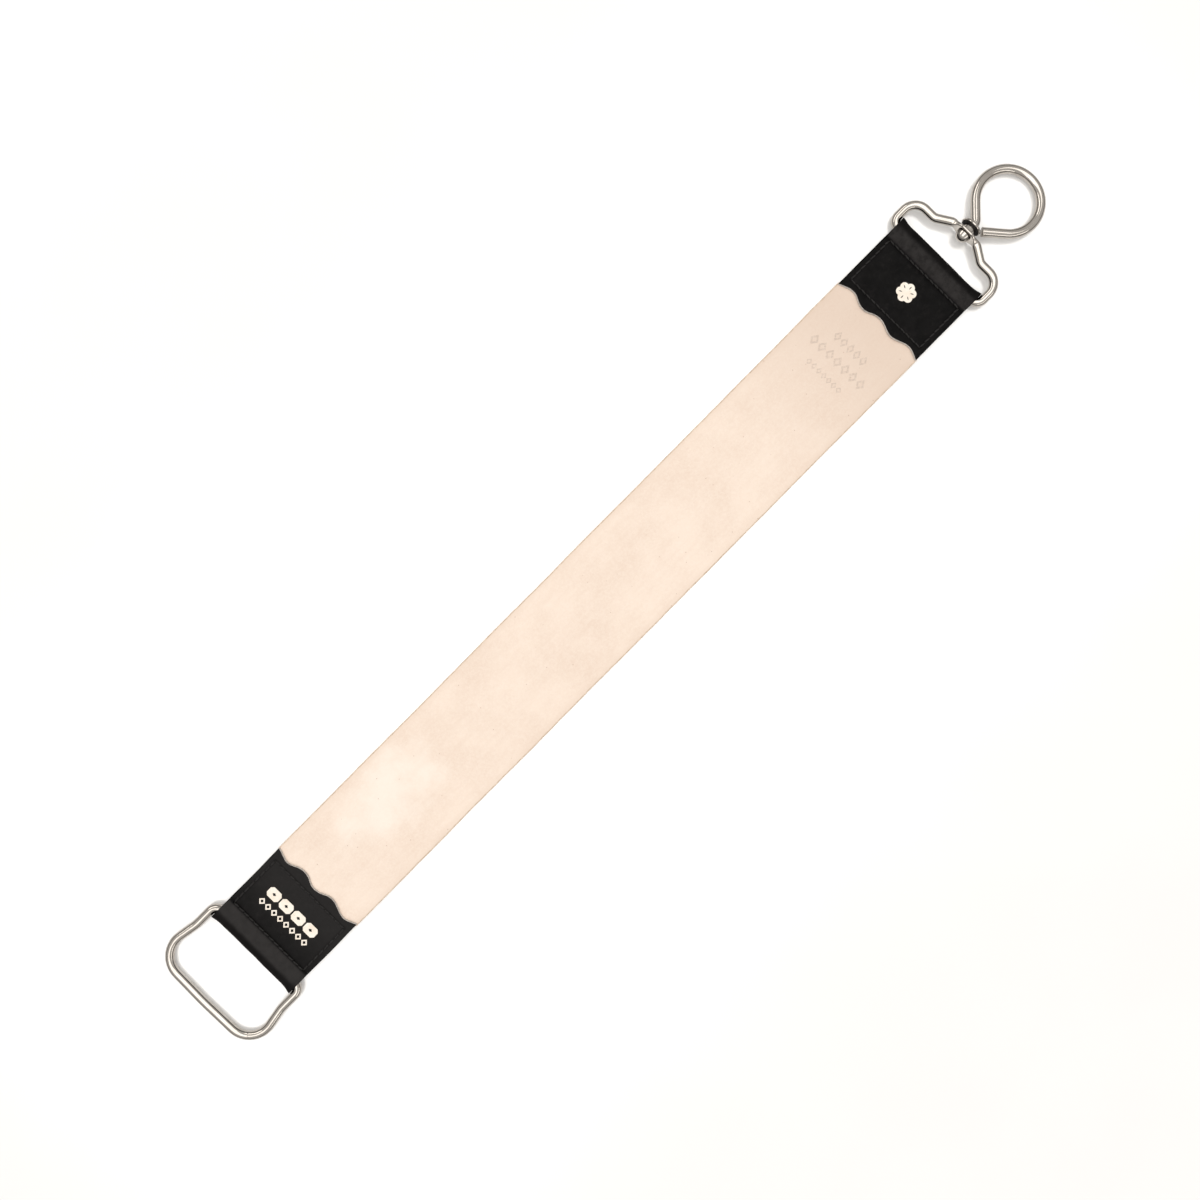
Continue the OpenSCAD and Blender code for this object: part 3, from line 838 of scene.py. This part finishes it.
def handle_mesh():
    """The handle: one wire, its ends butted together near the corner of the far bar."""
    tilt = math.radians(2.2)
    along = (-math.cos(tilt), 0, -math.sin(tilt))
    above = (-math.sin(tilt), 0, math.cos(tilt))
    place = tilted(pos_mm("handle_hinge"), along, above)
    # Its arms leave the hinge straight, spread to the corners, and the far bar bows out slightly
    neck, spread, corner, bar = 12.5, 3.9, 34.8, 35.5
    points = [
        (0, ARM_Y), (neck, ARM_Y), (corner, ARM_Y + spread), (bar, 0),
        (corner, -ARM_Y - spread), (neck, -ARM_Y), (0, -ARM_Y),
    ]
    path = bend_path(points, [HINGE_BEND, 20, 11.5, 150, 11.5, 20, HINGE_BEND])
    # More rings near the butt joint, where a fine groove runs round the wire
    joint = np.argmin(np.hypot(path[:, 0] - 32.2, path[:, 1] + 24.4))
    a, b = path[joint], path[joint + 1]
    fill = [a + (b - a) * t for t in (0.2, 0.35, 0.45, 0.55, 0.65, 0.8)]
    path = np.insert(path, joint + 1, fill, axis=0)
    length = lengths(path)
    middle = (length[joint + 3] + length[joint + 4]) / 2
    groove = np.exp(-(((length - middle) / 0.09) ** 2))
    radii = WIRE_R * (1 - 0.055 * groove + 0.004 * waves(length, 0, 9, 61))
    step = 0.07 * np.tanh((length - middle) / 0.06) * np.exp(-(((length - middle) / 2.2) ** 2))
    path = path + step[:, None] * 0.5
    tangent, length = spaced(path)
    verts, uv = [], []
    for p, t, r, s in zip(path, tangent, radii, length):
        flat = p + np.array([t[1], -t[0]]) * (np.cos(AROUND) * r)[:, None]
        verts.append(place(flat[:, 0], flat[:, 1], np.sin(AROUND) * r))
        uv.append(ring_uv(s, WIRE_R))
    return np.concatenate(verts), tube_faces(len(path), WIRE_SIDES, closed=True), np.concatenate(uv)


def bail_mesh():
    """The bail: a wire whose middle is flattened upright into the swivel's eye, before it is pierced."""
    origin = np.array(pos_mm("bail_hinge"))
    reach = np.linalg.norm(EYE - origin)
    along = (EYE - origin) / reach
    above = np.array([-along[2], 0, along[0]])
    # The cross run steps forward beside the eye, between its inner and outer shoulders
    run, inner_y, outer_y = 14.3, 7.2, 14.6
    points = [
        (reach, -inner_y), (run, -outer_y), (run, -ARM_Y), (0, -ARM_Y),
        (0, ARM_Y), (run, ARM_Y), (run, outer_y), (reach, inner_y),
    ]
    path = bend_path(points, [4, 5, 7, HINGE_BEND, HINGE_BEND, 7, 5, 4])
    tangent, length = spaced(path)
    normal = np.stack([tangent[:, 1], -tangent[:, 0]], -1)
    # The eye plate stands square to the swivel's axis
    turn = math.asin(along[2]) - math.asin(SWIVEL_AXIS[2])
    plate_half_t, plate_half_h = 0.75, 4.4
    c, s = np.cos(AROUND), np.sin(AROUND)
    verts, uv = [], []
    for i, p in enumerate(path):
        on_far_run = p[0] > 10
        away = abs(p[1]) if on_far_run else ARM_Y
        flat = float(1 - smooth((away - 4.4) / 3.4))
        tall = float(1 - smooth((away - 2.6) / 4.6))
        thin = WIRE_R + (plate_half_t - WIRE_R) * flat
        high = WIRE_R + (plate_half_h - WIRE_R) * tall
        power = 2 / (2 + 3.2 * flat)
        a = thin * np.sign(c) * abs(c) ** power
        b = high * np.sign(s) * abs(s) ** power
        lean = turn * flat
        out = along * math.cos(lean) - above * math.sin(lean)
        up = above * math.cos(lean) + along * math.sin(lean)
        ring = origin + p[0] * along + b[:, None] * up
        ring = ring + (a * normal[i, 0])[:, None] * out
        ring[:, 1] += p[1] + a * normal[i, 1]
        verts.append(ring)
        uv.append(ring_uv(length[i], WIRE_R))
    return np.concatenate(verts), tube_faces(len(path), WIRE_SIDES, closed=True), np.concatenate(uv)


def lathe(profile, sides=64):
    """A solid turned round the swivel's axis from (u, r) points; both ends lie on the axis."""
    around = np.linspace(0, math.tau, sides, endpoint=False)
    verts, uv = [], []
    for u, r in profile:
        verts.append(swivel_place(u, r * np.cos(around), r * np.sin(around)))
        uv.append(np.stack([around * 3, np.full(sides, u)], -1) * MM)
    return np.concatenate(verts), tube_faces(len(profile), sides, closed=False), np.concatenate(uv)


def round_off(u, r, du, dr, start, end, steps):
    """Outline points along an ellipse round (u, r), between two angles in degrees."""
    angles = np.radians(np.linspace(start, end, steps + 1))
    return [(u + du * math.cos(a), r + dr * math.sin(a)) for a in angles]


def rivet_mesh():
    """Domed head, shank through the eye; its tail is set in the hook's foot."""
    head_r, seat = 3.5, DOME_SEAT
    dome = round_off(seat, 0, -head_r, head_r, 1, 84, 25)
    brim = [(seat - 0.22, head_r), (seat - 0.05, head_r - 0.06), (seat, head_r - 0.2)]
    shank = [
        (seat, 3.15), (seat + 0.08, 3.0), (seat + 0.3, NECK_R), (2.0, NECK_R),
        (COLLAR_SEAT, NECK_R), (COLLAR_SEAT, 0.05),
    ]
    return lathe(dome + brim + shank)


def collar_profile():
    """The collar's outline from the eye to the wire: rounded edges, then a hollow curve."""
    front, back = COLLAR_SEAT, COLLAR_SEAT + 1.2
    flat_r, edge_u, edge_r = 4.7, 0.3, 0.35
    hollow_r, hollow_u = 4.3, 1.2
    face = [(front, 0.05), (front, 4.0)]
    front_edge = round_off(front + edge_u, flat_r, -edge_u, edge_r, 0, 90, 3)
    crown = [((front + back) / 2, flat_r + edge_r + 0.01)]
    back_edge = round_off(back - edge_u, flat_r, edge_u, edge_r, 90, 0, 3)
    hollow = round_off(back + hollow_u, hollow_r, -hollow_u, HOOK_WIRE_R - hollow_r, 0, 83, 8)
    return face + front_edge + crown + back_edge + hollow


def hook_mesh():
    """Collar, foot, bend, ring and free end as one bent wire with an upset head."""
    collar = collar_profile()
    # The ring's wire leaves the axis in a bend, runs straight to the ring, round it, and back to its end
    ring_c, ring_r, bend_r = np.array([24.9, -3.75]), 15.05, 3.2
    start, end = np.array([7.2, 0.0]), np.array([6.1, -5.15])
    to_upper, to_lower = ring_c - start, ring_c - end
    upper = math.atan2(to_upper[1], to_upper[0]) + math.asin(ring_r / np.linalg.norm(to_upper))
    lower = math.atan2(to_lower[1], to_lower[0]) - math.asin(ring_r / np.linalg.norm(to_lower))
    cut = bend_r * math.tan(upper / 2)
    bend = np.linspace(0, upper, 10)
    path = [(start[0] - cut + bend_r * math.sin(a), bend_r - bend_r * math.cos(a)) for a in bend]
    first = ring_c + ring_r * np.array([-math.sin(upper), math.cos(upper)])
    path += [tuple(start + (first - start) * t) for t in (0.35, 0.5, 0.65, 0.8, 0.92)]
    sweep_angle = upper - lower + math.pi
    ring_steps = 110
    for k in range(ring_steps + 1):
        a = upper + math.pi / 2 - sweep_angle * k / ring_steps
        path.append(tuple(ring_c + ring_r * np.array([math.cos(a), math.sin(a)])))
    last = np.array(path[-1])
    path += [tuple(last + (end - last) * t) for t in (0.15, 0.3, 0.45, 0.6, 0.75, 0.88, 0.97, 1.0)]
    # The free end's corner is rounded: distance past the end, and share of the wire's radius
    outward = (end - last) / np.linalg.norm(end - last)
    tail = [(0.1, 1.0), (0.2, 0.97), (0.25, 0.91)]
    path += [tuple(end + outward * t) for t, _ in tail]
    wire_count = len(path) - len(tail)
    radii = [r for _, r in collar] + [HOOK_WIRE_R] * wire_count + [HOOK_WIRE_R * k for _, k in tail]
    path = np.array([(u, 0.0) for u, _ in collar] + path)
    # The collar's rings are square to the axis, and the wire's follow its path
    tangent = np.vstack([path[1:] - path[:-1], path[-1] - path[-2]])
    tangent[: len(collar)] = (1, 0)
    tangent /= np.linalg.norm(tangent, axis=1)[:, None]
    tangent[len(collar) + 1:-1] = (tangent[len(collar) + 1:-1] + tangent[len(collar):-2]) / 2
    tangent /= np.linalg.norm(tangent, axis=1)[:, None]
    verts, uv = [], []
    for p, t, r, s in zip(path, tangent, radii, lengths(path)):
        flat = p + np.array([t[1], -t[0]]) * (r * np.cos(AROUND))[:, None]
        verts.append(swivel_place(flat[:, 0], flat[:, 1], r * np.sin(AROUND)))
        uv.append(ring_uv(s, HOOK_WIRE_R))
    faces = tube_faces(len(path), WIRE_SIDES, closed=False)
    # The collar's flat face towards the eye gets the painted shade. Its middle is the first end face
    plated, painted_shade = 0, 1
    slots = [painted_shade if i < 2 * WIRE_SIDES else plated for i in range(len(faces))]
    slots[-2] = painted_shade
    return np.concatenate(verts), faces, slots, np.concatenate(uv)


def pierce(obj):
    """Cuts the swivel's eye through the flattened middle of the bail."""
    # Half of a straight hole with rounded mouths, and its mirror image
    half = round_off(0.35, EYE_HOLE_R + 0.9, 0.6, -0.9, 90, 32, 3) + [(2.4, 3.9)]
    profile = [(-u, r) for u, r in reversed(half)] + half
    verts, faces, _ = lathe(profile, sides=96)
    mesh = bpy.data.meshes.new("eye_cutter")
    mesh.from_pydata([tuple(v) for v in verts * MM], [], faces)
    cutter = bpy.data.objects.new("eye_cutter", mesh)
    bpy.context.scene.collection.objects.link(cutter)
    face_outward(mesh)
    cut = obj.modifiers.new("eye", "BOOLEAN")
    cut.operation = "DIFFERENCE"
    cut.solver = "EXACT"
    cut.object = cutter
    bpy.context.view_layer.update()
    evaluated = obj.evaluated_get(bpy.context.evaluated_depsgraph_get())
    pierced = bpy.data.meshes.new_from_object(evaluated)
    obj.modifiers.clear()
    obj.data = pierced
    bpy.data.objects.remove(cutter)
    pierced.shade_smooth()
    pierced.set_sharp_from_angle(angle=math.radians(40))


# ---------------------------------------------------------------- build


def build_strop():
    """Every finished piece, riding on its body in place of its CAD node."""
    grain, flesh, edge = strap_grain(), strap_flesh(), strap_edge()
    cap_skins = [cap_grain(), cap_edge(), cap_flesh()]
    thread, foil, metal = waxed_thread(), hot_foil(), nickel()

    verts, faces, slots = strap_mesh()
    make("strap_leather", verts, faces, [grain, edge, flesh], "leather", ["strap"], slots)

    caps = {
        "handle_cap": Cap(HANDLE_CAP_LEN, HANDLE_EDGE, 1, 20),
        "hook_cap": Cap(HOOK_CAP_LEN, HOOK_EDGE, -1, 40),
    }
    for name, cap in caps.items():
        verts, faces, slots = cap_mesh(cap)
        make(name + "_leather", verts, faces, cap_skins, "leather", [name], slots)
        verts, faces = thread_mesh(cap)
        make(name + "_thread", verts, faces, [thread], "leather", [name + "_stitching"])

    for name in ("handle_cap_foil", "hook_cap_foil"):
        node = frame["nodes"][name]
        node.data.materials.clear()
        node.data.materials.append(foil)

    verts, faces, uv = handle_mesh()
    make("handle_wire", verts, faces, [metal], "handle", ["handle_loop"], uv=uv)
    verts, faces, uv = bail_mesh()
    bail = make("bail_wire", verts, faces, [metal], "bail", ["swivel_bail"], uv=uv)
    pierce(bail)
    verts, faces, uv = rivet_mesh()
    make("rivet", verts, faces, [metal], "hook", ["swivel_rivet"], uv=uv)
    verts, faces, slots, uv = hook_mesh()
    skins = [metal, collar_shade()]
    make("ring_hook_wire", verts, faces, skins, "hook", ["ring_hook"], slots, uv)


def floor():
    """A plain table top, a hair below the strop so that no faces coincide."""
    half, z = 3.0, -0.00005
    corners = [(-half, -half, z), (half, -half, z), (half, half, z), (-half, half, z)]
    mesh = bpy.data.meshes.new("floor")
    mesh.from_pydata(corners, [], [(0, 1, 2, 3)])
    mesh.materials.append(pale_floor())
    obj = bpy.data.objects.new("floor", mesh)
    bpy.context.scene.collection.objects.link(obj)


def panel(name, place, target, width, height, radiance, colour):
    """A soft box of that size whose face has that brightness."""
    light = bpy.data.lights.new(name, "AREA")
    light.shape = "RECTANGLE"
    light.size, light.size_y = width, height
    light.energy = radiance * math.pi * width * height
    light.color = colour
    obj = bpy.data.objects.new(name, light)
    obj.location = place
    obj.rotation_mode = "QUATERNION"
    obj.rotation_quaternion = (Vector(target) - Vector(place)).to_track_quat("-Z", "Y")
    bpy.context.scene.collection.objects.link(obj)


def studio():
    """Plain soft light: one panel overhead, a strip along each side, and a grey room."""
    panel("overhead", (0.0, 0.0, 1.3), (0.0, 0.0, 0.0), 1.9, 0.8, 1.75, (1.0, 0.98, 0.955))
    panel("side_strip", (0.0, 1.1, 0.95), (0.0, 0.0, 0.0), 1.4, 0.28, 3.0, (1.0, 0.97, 0.93))
    panel("low_strip", (0.0, -1.2, 0.8), (0.0, 0.0, 0.0), 1.4, 0.22, 2.2, (1.0, 0.97, 0.93))
    world = bpy.data.worlds.new("studio")
    bpy.context.scene.world = world
    world.use_nodes = True
    nodes, links = world.node_tree.nodes, world.node_tree.links
    background = nodes["Background"]
    coords = nodes.new("ShaderNodeTexCoord")
    split = nodes.new("ShaderNodeSeparateXYZ")
    ramp = nodes.new("ShaderNodeValToRGB")
    links.new(coords.outputs["Generated"], split.inputs[0])
    links.new(split.outputs[2], ramp.inputs[0])
    links.new(ramp.outputs[0], background.inputs["Color"])
    # Height and brightness: dim low down, so that the wires have dark sides, and bright above
    stops = [(0.0, 0.3), (0.22, 0.2), (0.4, 0.66), (1.0, 0.69)]
    while len(ramp.color_ramp.elements) < len(stops):
        ramp.color_ramp.elements.new(0.5)
    for element, (position, level) in zip(ramp.color_ramp.elements, stops):
        element.position = position
        element.color = (level, level * 0.98, level * 0.95, 1)
    background.inputs["Strength"].default_value = 1.0


def camera():
    """Straight above, turned so that the strop runs up to the right."""
    data = bpy.data.cameras.new("camera")
    data.sensor_width = 36
    data.lens = 40.9
    obj = bpy.data.objects.new("camera", data)
    obj.location = (-0.0087, 0.00055, 0.620)
    obj.rotation_euler = (0, 0, math.radians(-45.28))
    bpy.context.scene.collection.objects.link(obj)
    bpy.context.scene.camera = obj


build_strop()
floor()
studio()
camera()
bpy.context.scene.view_settings.view_transform = "Standard"
